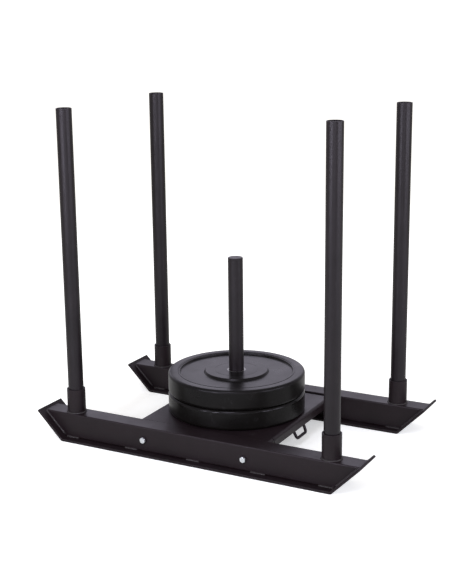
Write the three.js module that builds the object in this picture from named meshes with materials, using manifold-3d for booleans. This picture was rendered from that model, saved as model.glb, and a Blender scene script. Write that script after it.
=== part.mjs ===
// A push sled: two skids of box tube on upturned flat straps, a folded steel deck bolted between them,
// a weight horn that carries two bumper plates, a tow loop, and four uprights that drop into sockets.
// Millimetres. +X runs forward to the tow loop, +Y to the sled's left, +Z up.
// The origin is on the floor, under the middle of the sled.
import * as THREE from "three";
import { mergeVertices } from "three/addons/utils/BufferGeometryUtils.js";
import Module from "manifold-3d";

// Skid straps
const SOLE_LENGTH = 960;
const STRAP_WIDTH = 125;
const STRAP_THICKNESS = 8;
const UPTURN_ANGLE = THREE.MathUtils.degToRad(45);
const TIP_HEIGHT = 91;
const STRAP_BEND_RADIUS = 6;
const STRAP_EDGE_BREAK = 1;
const SKID_SPACING = 548;

// Skid tubes
const TUBE_WIDTH = 67;
const TUBE_HEIGHT = 81;
const TUBE_WALL = 3;
const TUBE_CORNER = 4;

// Sockets and uprights
const SOCKET_SPACING = 912;
const SOCKET_OUTER = 60.3;
const SOCKET_BORE = 52.3;
const SOCKET_HEIGHT = 79;
const UPRIGHT_OUTER = 50;
const UPRIGHT_BORE = 44;
const UPRIGHT_TOP = 1081;
const TUBE_END_BREAK = 0.8;

// End plug of an upright
const PLUG_RECESS = 3;
const PLUG_HEAD = 5;
const PLUG_STEM_RADIUS = 15;
const PLUG_FIN_PITCH = 6;
const PLUG_FIN_THICKNESS = 2;
const PLUG_FINS = 2;

// Deck
const DECK_X = -2;
const DECK_LENGTH = 466;
const DECK_TOP = 85;
const DECK_SHEET = 5;
const DECK_BEND_RADIUS = 10;
const SIDE_FLANGE = 60;
const END_FLANGE = 30;
const CORNER_TAB = 40;
const CORNER_SLIT = 2.5;
const CORNER_SLIT_DEPTH = 7;

// Weight horn
const HORN_X = -5;
const HORN_OUTER = 49;
const HORN_WALL = 4;
const HORN_TOP = 595;
const HORN_CAP = 5;
const FOOT_PLATE_SIZE = 140;
const FOOT_PLATE_THICKNESS = 6;
const FOOT_PLATE_CORNER = 12;

// Bumper plates
const PLATE_RADIUS = 225;
const PLATE_THICKNESS = 66;
const PLATE_EDGE_RADIUS = 10;
const RIM_INNER_RADIUS = 187;
const WEB_RECESS = 7;
const WEB_BEVEL = 5;
const HUB_RADIUS = 102;
const INSERT_OUTER = 62;
const INSERT_BORE = 50.8;
const INSERT_SETBACK = 0.6;

// Tow loop
const LOOP_ROD = 10;
const LOOP_LEG_TOP = 76;
const LOOP_BEND_HEIGHT = 50;
const LOOP_HALF_WIDTH_TOP = 37;
const LOOP_HALF_WIDTH_BOTTOM = 34;
const LOOP_DROP = 25.5;
const LOOP_LEAN = THREE.MathUtils.degToRad(25);
const LOOP_CORNER = 11;
const LOOP_STEPS = 36;
const LOOP_SIDES = 10;

// Deck bolts
const BOLT_SPACING = 358;
const BOLT_HEIGHT = 46;
const BOLT_SHANK = 10;
const BOLT_LENGTH = 90;
const HEX_WIDTH = 17;
const HEAD_HEIGHT = 6.4;
const NUT_HEIGHT = 8;
const WASHER_OUTER = 24;
const WASHER_THICKNESS = 2;
const CLEARANCE_HOLE = 11;

// Touching pieces keep this gap
const GAP = 0.3;

// Facets round a circle
const POST_SIDES = 28;
const PLATE_SIDES = 48;
const SMALL_SIDES = 16;
const BEND_FACETS = 3;

// Worked out from the dimensions above
const skidY = SKID_SPACING / 2;
const strapOuterRadius = STRAP_BEND_RADIUS + STRAP_THICKNESS;
const bendCentreX = SOLE_LENGTH / 2 - strapOuterRadius * Math.tan(UPTURN_ANGLE / 2);
const tubeBottom = STRAP_THICKNESS + GAP;
const tubeTop = STRAP_THICKNESS + TUBE_HEIGHT;
const socketBottom = tubeTop + GAP;
const innerFaceY = skidY - TUBE_WIDTH / 2;
const outerFaceY = skidY + TUBE_WIDTH / 2;
const deckHalfLength = DECK_LENGTH / 2;
const deckHalfWidth = innerFaceY - GAP;
const deckUnderside = DECK_TOP - DECK_SHEET;
const footPlateTop = deckUnderside - GAP;

const finishes = {
  coat: { color: 0x232326, roughness: 0.48, metalness: 0.25 },
  rubber: { color: 0x1f1f21, roughness: 0.62, metalness: 0 },
  plastic: { color: 0x0d0d0e, roughness: 0.6, metalness: 0 },
  steel: { color: 0xb9bbbd, roughness: 0.3, metalness: 1 },
  zinc: { color: 0xc6c9cc, roughness: 0.35, metalness: 1 },
};

const wasm = await Module();
wasm.setup();

// Solids for cutting and joining

function toSolid(geometry) {
  const bare = geometry.clone();
  bare.deleteAttribute("normal");
  bare.deleteAttribute("uv");
  const merged = mergeVertices(bare, 1e-4);
  return new wasm.Manifold(
    new wasm.Mesh({
      numProp: 3,
      vertProperties: new Float32Array(merged.attributes.position.array),
      triVerts: new Uint32Array(merged.index.array),
    }),
  );
}

function toGeometry(solid) {
  const mesh = solid.getMesh();
  const geometry = new THREE.BufferGeometry();
  geometry.setAttribute("position", new THREE.BufferAttribute(mesh.vertProperties, 3));
  geometry.setIndex(new THREE.BufferAttribute(mesh.triVerts, 1));
  return geometry;
}

function cut(geometry, tools) {
  const left = tools.reduce((solid, tool) => solid.subtract(toSolid(tool)), toSolid(geometry));
  return toGeometry(left);
}

// Plain shapes

function blockBetween(low, high) {
  const size = high.map((value, i) => value - low[i]);
  const middle = high.map((value, i) => (value + low[i]) / 2);
  return new THREE.BoxGeometry(...size).translate(...middle);
}

function rodAlongZ(radius, low, high, sides) {
  const rod = new THREE.CylinderGeometry(radius, radius, high - low, sides);
  return rod.rotateX(Math.PI / 2).translate(0, 0, (low + high) / 2);
}

function rodAlongY(radius, low, high, sides) {
  const rod = new THREE.CylinderGeometry(radius, radius, high - low, sides);
  return rod.translate(0, (low + high) / 2, 0);
}

// A rectangle about the origin with rounded corners
function roundedRectangle(width, height, radius) {
  const x = width / 2 - radius;
  const y = height / 2 - radius;
  const shape = new THREE.Shape();
  shape.absarc(x, y, radius, 0, Math.PI / 2);
  shape.absarc(-x, y, radius, Math.PI / 2, Math.PI);
  shape.absarc(-x, -y, radius, Math.PI, 1.5 * Math.PI);
  shape.absarc(x, -y, radius, 1.5 * Math.PI, 2 * Math.PI);
  return shape;
}

// An upright rectangle from low to high whose top corners are rounded
function roundedTop(halfWidth, low, high, radius) {
  const shape = new THREE.Shape();
  shape.moveTo(-halfWidth, low);
  shape.lineTo(halfWidth, low);
  shape.absarc(halfWidth - radius, high - radius, radius, 0, Math.PI / 2);
  shape.absarc(radius - halfWidth, high - radius, radius, Math.PI / 2, Math.PI);
  return shape;
}

function extruded(shape, depth, curveSegments) {
  return new THREE.ExtrudeGeometry(shape, { depth, curveSegments, bevelEnabled: false });
}

// A shape drawn in X and Z, drawn out along Y about the middle
function acrossY(shape, depth, curveSegments) {
  return extruded(shape, depth, curveSegments).rotateX(Math.PI / 2).translate(0, depth / 2, 0);
}

// A shape drawn in Y and Z, drawn out along X about the middle
function acrossX(shape, depth, curveSegments) {
  const flat = extruded(shape, depth, curveSegments).translate(0, 0, -depth / 2);
  return flat.rotateX(Math.PI / 2).rotateZ(Math.PI / 2);
}

// A closed profile of [radius, height] points turned about Z; its outer side runs upward
function turned(profile, sides) {
  const points = [...profile, profile[0]].map(([r, z]) => new THREE.Vector2(r, z));
  return new THREE.LatheGeometry(points, sides).rotateX(Math.PI / 2);
}

// A solid of revolution whose profile starts and ends on the axis
function turnedSolid(profile, sides) {
  const points = profile.map(([r, z]) => new THREE.Vector2(r, z));
  return new THREE.LatheGeometry(points, sides).rotateX(Math.PI / 2);
}

function arc(r, z, radius, from, to, steps) {
  return Array.from({ length: steps + 1 }, (_, i) => {
    const a = from + ((to - from) * i) / steps;
    return [r + radius * Math.cos(a), z + radius * Math.sin(a)];
  });
}

// A round tube cut square below, with both edges broken at its upper end
function tubeProfile(inner, outer, low, high) {
  return [
    [inner, low],
    [outer, low],
    [outer, high - TUBE_END_BREAK],
    [outer - TUBE_END_BREAK, high],
    [inner + TUBE_END_BREAK, high],
    [inner, high - TUBE_END_BREAK],
  ];
}

// Skids

// The strap's section: flat sole, a bend at each end, and straight upturned tips
function strapShape() {
  const up = new THREE.Vector2(Math.cos(UPTURN_ANGLE), Math.sin(UPTURN_ANGLE));
  const outerTip = new THREE.Vector2(SOLE_LENGTH / 2 + TIP_HEIGHT / Math.tan(UPTURN_ANGLE), TIP_HEIGHT);
  const innerTip = new THREE.Vector2(-up.y, up.x).multiplyScalar(STRAP_THICKNESS).add(outerTip);
  const down = -Math.PI / 2;
  const right = down + UPTURN_ANGLE;
  const left = down - UPTURN_ANGLE;
  const shape = new THREE.Shape();
  shape.absarc(bendCentreX, strapOuterRadius, strapOuterRadius, down, right, false);
  shape.lineTo(outerTip.x, outerTip.y);
  shape.lineTo(innerTip.x, innerTip.y);
  shape.absarc(bendCentreX, strapOuterRadius, STRAP_BEND_RADIUS, right, down, true);
  shape.absarc(-bendCentreX, strapOuterRadius, STRAP_BEND_RADIUS, down, left, true);
  shape.lineTo(-innerTip.x, innerTip.y);
  shape.lineTo(-outerTip.x, outerTip.y);
  shape.absarc(-bendCentreX, strapOuterRadius, strapOuterRadius, left, down, false);
  return shape;
}

function skidStrap() {
  const strap = new THREE.ExtrudeGeometry(strapShape(), {
    depth: STRAP_WIDTH - 2 * STRAP_EDGE_BREAK,
    curveSegments: 2 * BEND_FACETS,
    bevelThickness: STRAP_EDGE_BREAK,
    bevelSize: STRAP_EDGE_BREAK,
    bevelOffset: -STRAP_EDGE_BREAK,
    bevelSegments: 1,
  });
  return strap.rotateX(Math.PI / 2).translate(0, STRAP_WIDTH / 2 - STRAP_EDGE_BREAK, 0);
}

// Seen from the side, the space that the strap leaves for the tube
function tubeSideShape() {
  const radius = STRAP_BEND_RADIUS - GAP;
  const right = -Math.PI / 2 + UPTURN_ANGLE;
  const footX = bendCentreX + radius * Math.cos(right);
  const footZ = strapOuterRadius + radius * Math.sin(right);
  const topX = footX + (tubeTop - footZ) / Math.tan(UPTURN_ANGLE);
  const shape = new THREE.Shape();
  shape.absarc(bendCentreX, strapOuterRadius, radius, -Math.PI / 2, right, false);
  shape.lineTo(topX, tubeTop);
  shape.lineTo(-topX, tubeTop);
  shape.absarc(-bendCentreX, strapOuterRadius, radius, -Math.PI - right, -Math.PI / 2, false);
  return shape;
}

// The bolts' pair of holes, along Y and either side of the given place along X
function boltHoles(halfDepth, middleX) {
  return [-1, 1].map((end) =>
    rodAlongY(CLEARANCE_HOLE / 2, -halfDepth, halfDepth, SMALL_SIDES).translate(
      middleX + (end * BOLT_SPACING) / 2,
      0,
      BOLT_HEIGHT,
    ),
  );
}

// Box tube on edge, its ends cut to lie against the upturned strap
function skidTube() {
  const height = tubeTop - tubeBottom;
  const section = roundedRectangle(TUBE_WIDTH, height, TUBE_CORNER);
  const wall = 2 * TUBE_WALL;
  section.holes.push(roundedRectangle(TUBE_WIDTH - wall, height - wall, TUBE_CORNER - TUBE_WALL));
  const long = SOLE_LENGTH + 2 * TIP_HEIGHT;
  const tube = acrossX(section, long, BEND_FACETS).translate(0, 0, tubeBottom + height / 2);
  const side = acrossY(tubeSideShape(), 2 * TUBE_WIDTH, 2 * BEND_FACETS);
  const ends = toSolid(tube).intersect(toSolid(side));
  return cut(toGeometry(ends), boltHoles(TUBE_WIDTH, 0));
}

// Sockets, uprights and their plugs

function socket() {
  const top = socketBottom + SOCKET_HEIGHT;
  return turned(tubeProfile(SOCKET_BORE / 2, SOCKET_OUTER / 2, socketBottom, top), POST_SIDES);
}

function upright() {
  const profile = tubeProfile(UPRIGHT_BORE / 2, UPRIGHT_OUTER / 2, socketBottom, UPRIGHT_TOP);
  return turned(profile, POST_SIDES);
}

// A push-in plug: a dished head just below the rim, over a stem with grip fins
function uprightPlug() {
  const radius = UPRIGHT_BORE / 2 - GAP;
  const top = UPRIGHT_TOP - PLUG_RECESS;
  const underHead = top - PLUG_HEAD;
  const profile = [];
  const stemEnd = underHead - PLUG_FINS * PLUG_FIN_PITCH;
  profile.push([0, stemEnd], [PLUG_STEM_RADIUS, stemEnd]);
  for (let fin = PLUG_FINS; fin > 0; fin -= 1) {
    const z = underHead - fin * PLUG_FIN_PITCH + PLUG_FIN_THICKNESS;
    profile.push([PLUG_STEM_RADIUS, z], [radius, z + PLUG_FIN_THICKNESS / 2]);
    profile.push([PLUG_STEM_RADIUS, z + PLUG_FIN_THICKNESS]);
  }
  profile.push([PLUG_STEM_RADIUS, underHead], [radius, underHead], [radius, top - 1]);
  profile.push([radius - 1, top], [radius - 4, top], [0, top - 1.5]);
  return turnedSolid(profile, SMALL_SIDES);
}

// Deck

// A block whose top and upright edges are all rounded like folded sheet
function foldedBlock(halfX, halfY, low, high, radius) {
  const fromEnd = acrossY(roundedTop(halfX, low, high, radius), 3 * halfY, BEND_FACETS);
  const fromSide = acrossX(roundedTop(halfY, low, high, radius), 3 * halfX, BEND_FACETS);
  const plan = extruded(roundedRectangle(2 * halfX, 2 * halfY, radius), 2 * (high - low), BEND_FACETS);
  const fromTop = plan.translate(0, 0, low - (high - low) / 2);
  return toSolid(fromEnd).intersect(toSolid(fromSide)).intersect(toSolid(fromTop));
}

// The tray about its own middle: deep side flanges that return round each corner as tabs, a shallower
// flange at each end, and a relief slit between tab and flange that runs up through the bend
function deckTray() {
  const low = DECK_TOP - SIDE_FLANGE;
  const outside = foldedBlock(deckHalfLength, deckHalfWidth, low, DECK_TOP, DECK_BEND_RADIUS);
  const inside = foldedBlock(
    deckHalfLength - DECK_SHEET,
    deckHalfWidth - DECK_SHEET,
    low - DECK_SHEET,
    deckUnderside,
    DECK_BEND_RADIUS - DECK_SHEET,
  );
  const tabY = deckHalfWidth - CORNER_TAB;
  const hornHole = rodAlongZ(HORN_OUTER / 2 + GAP, 0, 2 * DECK_TOP, POST_SIDES);
  const tools = [hornHole.translate(HORN_X - DECK_X, 0, 0), ...boltHoles(SKID_SPACING, -DECK_X)];
  for (const end of [-1, 1]) {
    const face = end * (deckHalfLength + 1);
    const behindFlange = end * (deckHalfLength - 2 * DECK_SHEET);
    const xs = [face, behindFlange].sort((a, b) => a - b);
    tools.push(blockBetween([xs[0], -tabY, low - 1], [xs[1], tabY, DECK_TOP - END_FLANGE]));
    const slitEnd = end * (deckHalfLength - CORNER_SLIT_DEPTH);
    const slitX = [face, slitEnd].sort((a, b) => a - b);
    for (const side of [-1, 1]) {
      const y = side * tabY;
      tools.push(
        blockBetween(
          [slitX[0], y - CORNER_SLIT / 2, low - 1],
          [slitX[1], y + CORNER_SLIT / 2, DECK_TOP + 1],
        ),
      );
    }
  }
  return cut(toGeometry(outside.subtract(inside)), tools);
}

// Weight horn

function hornPost() {
  const low = footPlateTop - FOOT_PLATE_THICKNESS - 2;
  const high = HORN_TOP - HORN_CAP - GAP;
  const bore = HORN_OUTER / 2 - HORN_WALL;
  return turned(tubeProfile(bore, HORN_OUTER / 2, low, high), POST_SIDES);
}

function hornCap() {
  const radius = HORN_OUTER / 2;
  const low = HORN_TOP - HORN_CAP;
  const edge = 2.5;
  return turnedSolid(
    [[0, low], [radius, low], ...arc(radius - edge, HORN_TOP - edge, edge, 0, Math.PI / 2, 3), [0, HORN_TOP]],
    POST_SIDES,
  );
}

function hornFootPlate() {
  const shape = roundedRectangle(FOOT_PLATE_SIZE, FOOT_PLATE_SIZE, FOOT_PLATE_CORNER);
  const plate = extruded(shape, FOOT_PLATE_THICKNESS, BEND_FACETS);
  plate.translate(0, 0, footPlateTop - FOOT_PLATE_THICKNESS);
  return cut(plate, [rodAlongZ(HORN_OUTER / 2 + GAP, 0, DECK_TOP, POST_SIDES)]);
}

// Bumper plates

// One face of the plate, from the bore out: hub, web, rim and rounded edge; face is 1 for the top
function plateFace(face) {
  const half = PLATE_THICKNESS / 2;
  const bore = INSERT_OUTER / 2 + GAP;
  const rimFlat = PLATE_RADIUS - PLATE_EDGE_RADIUS;
  const outline = [
    [bore, half],
    [HUB_RADIUS, half],
    [HUB_RADIUS + WEB_BEVEL, half - WEB_RECESS],
    [RIM_INNER_RADIUS - WEB_BEVEL, half - WEB_RECESS],
    [RIM_INNER_RADIUS, half],
    ...arc(rimFlat, half - PLATE_EDGE_RADIUS, PLATE_EDGE_RADIUS, Math.PI / 2, 0, 3),
  ];
  return outline.map(([r, z]) => [r, half + face * z]);
}

function bumperPlate() {
  return turned([...plateFace(-1), ...plateFace(1).reverse()], PLATE_SIDES);
}

function plateInsert() {
  const top = PLATE_THICKNESS - INSERT_SETBACK;
  return turned(tubeProfile(INSERT_BORE / 2, INSERT_OUTER / 2, INSERT_SETBACK, top), POST_SIDES);
}

// Tow loop

// Straight runs between corner points, with each corner eased over the given length
function easedPath(corners, ease) {
  const path = new THREE.CurvePath();
  let from = corners[0];
  for (let i = 1; i < corners.length - 1; i += 1) {
    const corner = corners[i];
    const before = corner.clone().sub(corners[i - 1]).setLength(ease);
    const after = corners[i + 1].clone().sub(corner).setLength(ease);
    const enter = corner.clone().sub(before);
    const leave = corner.clone().add(after);
    path.add(new THREE.LineCurve3(from, enter));
    path.add(new THREE.QuadraticBezierCurve3(enter, corner, leave));
    from = leave;
  }
  path.add(new THREE.LineCurve3(from, corners[corners.length - 1]));
  return path;
}

// A bent rod: two legs up the inside of the front flange, leaning out below it, and a cross bar
function towLoop() {
  const legX = deckHalfLength - DECK_SHEET - GAP - LOOP_ROD / 2;
  const barX = legX + LOOP_DROP * Math.sin(LOOP_LEAN);
  const barZ = LOOP_BEND_HEIGHT - LOOP_DROP * Math.cos(LOOP_LEAN);
  const half = [
    new THREE.Vector3(legX, LOOP_HALF_WIDTH_TOP, LOOP_LEG_TOP),
    new THREE.Vector3(legX, LOOP_HALF_WIDTH_TOP, LOOP_BEND_HEIGHT),
    new THREE.Vector3(barX, LOOP_HALF_WIDTH_BOTTOM, barZ),
  ];
  const otherHalf = half.map((p) => new THREE.Vector3(p.x, -p.y, p.z)).reverse();
  const section = new THREE.Shape().absarc(0, 0, LOOP_ROD / 2, 0, 2 * Math.PI);
  return new THREE.ExtrudeGeometry(section, {
    steps: LOOP_STEPS,
    curveSegments: LOOP_SIDES / 2,
    extrudePath: easedPath([...half, ...otherHalf], LOOP_CORNER),
  });
}

// Fasteners, drawn along Z with the head outward

// A hexagonal prism whose corners are turned off at one end
function hexagon(height) {
  const corner = HEX_WIDTH / Math.sqrt(3);
  const prism = new THREE.CylinderGeometry(corner, corner, height, 6).rotateX(Math.PI / 2);
  const flat = HEX_WIDTH / 2 - 0.4;
  const facing = turnedSolid(
    [
      [0, -height],
      [2 * corner, -height],
      [2 * corner, height / 2 - 0.577 * (2 * corner - flat)],
      [flat, height / 2],
      [0, height / 2],
    ],
    SMALL_SIDES,
  );
  return toSolid(prism).intersect(toSolid(facing));
}

function bolt() {
  const head = hexagon(HEAD_HEIGHT).translate([0, 0, HEAD_HEIGHT / 2]);
  const shank = rodAlongZ(BOLT_SHANK / 2, -BOLT_LENGTH, 1, SMALL_SIDES);
  return toGeometry(head.add(toSolid(shank)));
}

function nut() {
  const body = toGeometry(hexagon(NUT_HEIGHT));
  return cut(body, [rodAlongZ(BOLT_SHANK / 2 + GAP, -NUT_HEIGHT, NUT_HEIGHT, SMALL_SIDES)]);
}

function washer() {
  const inner = BOLT_SHANK / 2 + GAP;
  return turned(
    [
      [inner, 0],
      [WASHER_OUTER / 2, 0],
      [WASHER_OUTER / 2, WASHER_THICKNESS],
      [inner, WASHER_THICKNESS],
    ],
    SMALL_SIDES,
  );
}

// Assembly

const sled = new THREE.Group();

function addPiece(name, geometry, finish, parent = sled) {
  const mesh = new THREE.Mesh(geometry, new THREE.MeshStandardMaterial(finishes[finish]));
  mesh.name = name;
  parent.add(mesh);
  return mesh;
}

const sides = [
  ["left", 1],
  ["right", -1],
];
const ends = [
  ["front", 1],
  ["rear", -1],
];

for (const [sideName, side] of sides) {
  const skid = new THREE.Group();
  skid.position.y = side * skidY;
  sled.add(skid);
  addPiece(sideName + "_skid_strap", skidStrap(), "coat", skid);
  addPiece(sideName + "_skid_tube", skidTube(), "coat", skid);
  for (const [endName, end] of ends) {
    const corner = new THREE.Group();
    corner.position.x = (end * SOCKET_SPACING) / 2;
    skid.add(corner);
    const place = endName + "_" + sideName + "_";
    addPiece(place + "socket", socket(), "coat", corner);
    addPiece(place + "upright", upright(), "coat", corner);
    addPiece(place + "upright_plug", uprightPlug(), "plastic", corner);
  }
}

const deck = new THREE.Group();
deck.position.x = DECK_X;
sled.add(deck);
addPiece("deck_tray", deckTray(), "coat", deck);
addPiece("tow_loop", towLoop(), "coat", deck);

const horn = new THREE.Group();
horn.position.x = HORN_X;
sled.add(horn);
addPiece("horn_post", hornPost(), "coat", horn);
addPiece("horn_cap", hornCap(), "coat", horn);
addPiece("horn_foot_plate", hornFootPlate(), "coat", horn);

const plateLevels = [
  ["lower", DECK_TOP + GAP],
  ["upper", DECK_TOP + PLATE_THICKNESS + 2 * GAP],
];
for (const [level, height] of plateLevels) {
  const stack = new THREE.Group();
  stack.position.set(HORN_X, 0, height);
  sled.add(stack);
  addPiece(level + "_bumper_plate", bumperPlate(), "rubber", stack);
  addPiece(level + "_plate_insert", plateInsert(), "steel", stack);
}

// Each bolt runs inward through the tube and the deck's side flange to a washer and nut
for (const [sideName, side] of sides) {
  for (const [endName, end] of ends) {
    const line = new THREE.Group();
    line.position.set((end * BOLT_SPACING) / 2, 0, BOLT_HEIGHT);
    line.rotation.x = (-side * Math.PI) / 2;
    sled.add(line);
    const name = endName + "_" + sideName + "_";
    const outerWasher = outerFaceY + GAP;
    const underHead = outerWasher + WASHER_THICKNESS + GAP;
    const innerWasher = deckHalfWidth - DECK_SHEET - GAP - WASHER_THICKNESS;
    const nutMiddle = innerWasher - GAP - NUT_HEIGHT / 2;
    addPiece(name + "bolt", bolt(), "zinc", line).position.z = underHead;
    addPiece(name + "head_washer", washer(), "coat", line).position.z = outerWasher;
    addPiece(name + "nut_washer", washer(), "zinc", line).position.z = innerWasher;
    const nutPiece = addPiece(name + "nut", nut(), "zinc", line);
    nutPiece.rotation.x = Math.PI;
    nutPiece.position.z = nutMiddle;
  }
}

export default sled;
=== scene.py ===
# %% [markdown]
# # Dressing a push sled
# A push sled is a plain piece of welding: two box tubes on flat runners, a folded deck between them, a post
# for weight plates and four loose uprights to push on. All of it is black, so its looks come from edges,
# welds and gloss, and not from colour. This script keeps the solids' places and sizes, builds each visible
# piece again with the edges, bends and beads that the workshop leaves, and lights it softly.
#
# A piece's lengths are typed in millimetres, as on a drawing, and turned into metres when its mesh is made.
# The camera, the lights and the finishes are given in metres, as Blender takes them.

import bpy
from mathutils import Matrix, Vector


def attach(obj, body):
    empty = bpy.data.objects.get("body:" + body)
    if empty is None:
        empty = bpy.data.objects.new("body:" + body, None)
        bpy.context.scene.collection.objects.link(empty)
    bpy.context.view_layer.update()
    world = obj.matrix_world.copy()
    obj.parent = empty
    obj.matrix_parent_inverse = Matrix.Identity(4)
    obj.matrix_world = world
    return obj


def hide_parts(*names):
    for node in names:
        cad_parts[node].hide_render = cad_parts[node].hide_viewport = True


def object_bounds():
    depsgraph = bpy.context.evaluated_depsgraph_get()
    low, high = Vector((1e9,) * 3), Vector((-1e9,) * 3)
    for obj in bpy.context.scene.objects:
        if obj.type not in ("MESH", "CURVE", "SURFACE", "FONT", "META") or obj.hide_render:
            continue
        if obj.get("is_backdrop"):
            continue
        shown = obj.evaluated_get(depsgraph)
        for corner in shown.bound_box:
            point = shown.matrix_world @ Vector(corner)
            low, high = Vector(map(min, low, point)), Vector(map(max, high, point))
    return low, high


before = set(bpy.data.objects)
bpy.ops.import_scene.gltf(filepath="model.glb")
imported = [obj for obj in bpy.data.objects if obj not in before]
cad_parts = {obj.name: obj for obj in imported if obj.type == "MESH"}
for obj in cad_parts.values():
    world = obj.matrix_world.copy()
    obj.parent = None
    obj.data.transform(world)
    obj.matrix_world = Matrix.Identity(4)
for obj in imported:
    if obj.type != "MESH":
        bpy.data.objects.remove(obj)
cad_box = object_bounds()
print("solids:", len(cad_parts))
print("overall, m:", [round(high - low, 3) for low, high in zip(*cad_box)])

# %% [markdown]
# ## Tools for making pieces
# Almost everything on a sled comes off a saw, a press brake or a lathe, so four ways of building cover it:
# a profile turned about an axis, a section drawn along a path, a block with rounded edges, and folded
# sheet. The first two are the same work for a mesh: rings of points, with a skin stretched from each to the
# next. Each piece is made in its place, so its own coordinates are the sled's, and textures line up across
# pieces.

# %% Make an object from points and faces
import math
import random

import bmesh
import bpy
from mathutils import Matrix, Vector

MM = 0.001
TAU = 2 * math.pi
SHARP = math.radians(38)


def dress(thing, body, material, slot, stands_for):
    """Gives an object its finish, hangs it on the body it rides on, and hides the solids it stands for."""
    bpy.context.scene.collection.objects.link(thing)
    thing.data.materials.append(material)
    thing.data.polygons.foreach_set("use_smooth", [True] * len(thing.data.polygons))
    thing.data.set_sharp_from_angle(angle=SHARP)
    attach(thing, body)
    if stands_for:
        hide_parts(*stands_for)
    return thing


def piece(name, shape, body, material, slot, stands_for):
    """An object made from a shape, which is its points, in millimetres, and its faces."""
    points, faces = shape
    mesh = bpy.data.meshes.new(name)
    mesh.from_pydata([Vector(p) * MM for p in points], [], faces)
    made = bmesh.new()
    made.from_mesh(mesh)
    bmesh.ops.recalc_face_normals(made, faces=made.faces)
    made.to_mesh(mesh)
    made.free()
    return dress(bpy.data.objects.new(name, mesh), body, material, slot, stands_for)


def frame_part(name, shape, coat, *stands_for):
    """A part of the welded frame, in one of the frame's coats."""
    return piece(name, shape, "sled_frame", coat, "frame_coat", stands_for)


# %% Shade a piece and break its edges
def even_shading(thing):
    """Shades flat faces flat right up to their rounded edges."""
    weighted = thing.modifiers.new("even shading", "WEIGHTED_NORMAL")
    weighted.keep_sharp = True


def break_edges(thing, width, steps=3, angle=55):
    """Rounds every edge sharper than the angle, as a grinder or a thick coat of paint does."""
    bevel = thing.modifiers.new("broken edges", "BEVEL")
    bevel.width = width * MM
    bevel.segments = steps
    bevel.limit_method = "ANGLE"
    bevel.angle_limit = math.radians(angle)
    even_shading(thing)


# %% Profiles with rounded corners
def rounded(corners, closed=True, steps=5):
    """Corners are (a, b) or (a, b, radius). Each one with a radius becomes an arc that meets both sides."""
    points = []
    count = len(corners)
    for i, corner in enumerate(corners):
        here = Vector(corner[:2])
        radius = corner[2] if len(corner) > 2 else 0
        if not radius or (not closed and i in (0, count - 1)):
            points.append(tuple(here))
            continue
        back = (Vector(corners[i - 1][:2]) - here).normalized()
        on = (Vector(corners[(i + 1) % count][:2]) - here).normalized()
        half = back.angle(on) / 2
        centre = here + (back + on).normalized() * (radius / math.sin(half))
        start = here + back * (radius / math.tan(half)) - centre
        end = here + on * (radius / math.tan(half)) - centre
        turn = start.angle_signed(end)
        for k in range(steps + 1):
            spun = Matrix.Rotation(-turn * k / steps, 2) @ start
            points.append(tuple(centre + spun))
    return points


def sleeve(inner, outer, low, high, edge):
    """The profile of a plain ring or tube, with all four edges rounded alike."""
    return rounded([(inner, low, edge), (outer, low, edge), (outer, high, edge), (inner, high, edge)])


print("a sleeve's profile has", len(sleeve(8, 10, 0, 20, 0.5)), "points")

# %% Stretch a skin over rings of points
def in_rings(points, sides):
    """The numbers of points that were made ring by ring."""
    return [list(range(first, first + sides)) for first in range(0, len(points), sides)]


def skin_over(rings, closed=False):
    """Faces from each ring to the next. Open ends are capped, unless the ring there is a single point."""
    faces = []
    for low, high in zip(rings, rings[1:] + (rings[:1] if closed else [])):
        for k in range(len(low)):
            n = (k + 1) % len(low)
            corners = list(dict.fromkeys([low[k], low[n], high[n], high[k]]))
            if len(corners) > 2:
                faces.append(corners)
    if not closed:
        faces += [ring for ring in (rings[0], rings[-1]) if ring[0] != ring[1]]
    return faces


# %% Turn a profile about an upright axis
ON_AXIS = 1e-6


def turned(profile, at=(0, 0), closed=True, sides=128):
    """
    Profile points are (radius, height), or a function of the angle gives them where they change on the way
    round. A closed profile joins its last point to its first.
    """
    angles = [TAU * k / sides for k in range(sides)]
    columns = [profile(a) if callable(profile) else profile for a in angles]
    points = []
    rings = []
    for level in zip(*columns):
        radius, height = level[0]
        if radius < ON_AXIS:
            rings.append([len(points)] * sides)
            points.append((at[0], at[1], height))
            continue
        rings.append([len(points) + k for k in range(sides)])
        for a, (radius, height) in zip(angles, level):
            points.append((at[0] + radius * math.cos(a), at[1] + radius * math.sin(a), height))
    return points, skin_over(rings, closed)


print("a turned sleeve has", len(turned(sleeve(8, 10, 0, 20, 0.5))[1]), "faces")

# %% Draw a round section along a path
Z = Vector((0, 0, 1))


def along(path, reach, closed=False, up=Z, sides=12):
    """Reach is a function of (step, angle) that says how far from the path the skin lies."""
    path = [Vector(p) for p in path]
    count = len(path)
    points = []
    for i, here in enumerate(path):
        before = path[i - 1] if (i or closed) else here
        after = path[(i + 1) % count] if (i < count - 1 or closed) else here
        ahead = (after - before).normalized()
        side = ahead.cross(up)
        # A path that runs straight up has no level side of its own.
        side = side.normalized() if side.length > 1e-4 else Vector((1, 0, 0))
        over = side.cross(ahead).normalized()
        for k in range(sides):
            a = TAU * k / sides
            out = side * math.cos(a) + over * math.sin(a)
            points.append(here + out * reach(i, a))
    return points, skin_over(in_rings(points, sides), closed)


# %% [markdown]
# ## Camera
# The photograph was matched to the sled's straight edges: a long lens at the sled's right, a little ahead
# and above, and far enough off that the uprights hardly lean. Aiming the camera at a point would lose its
# slight roll, so its three axes are worked out and set as a matrix.

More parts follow.
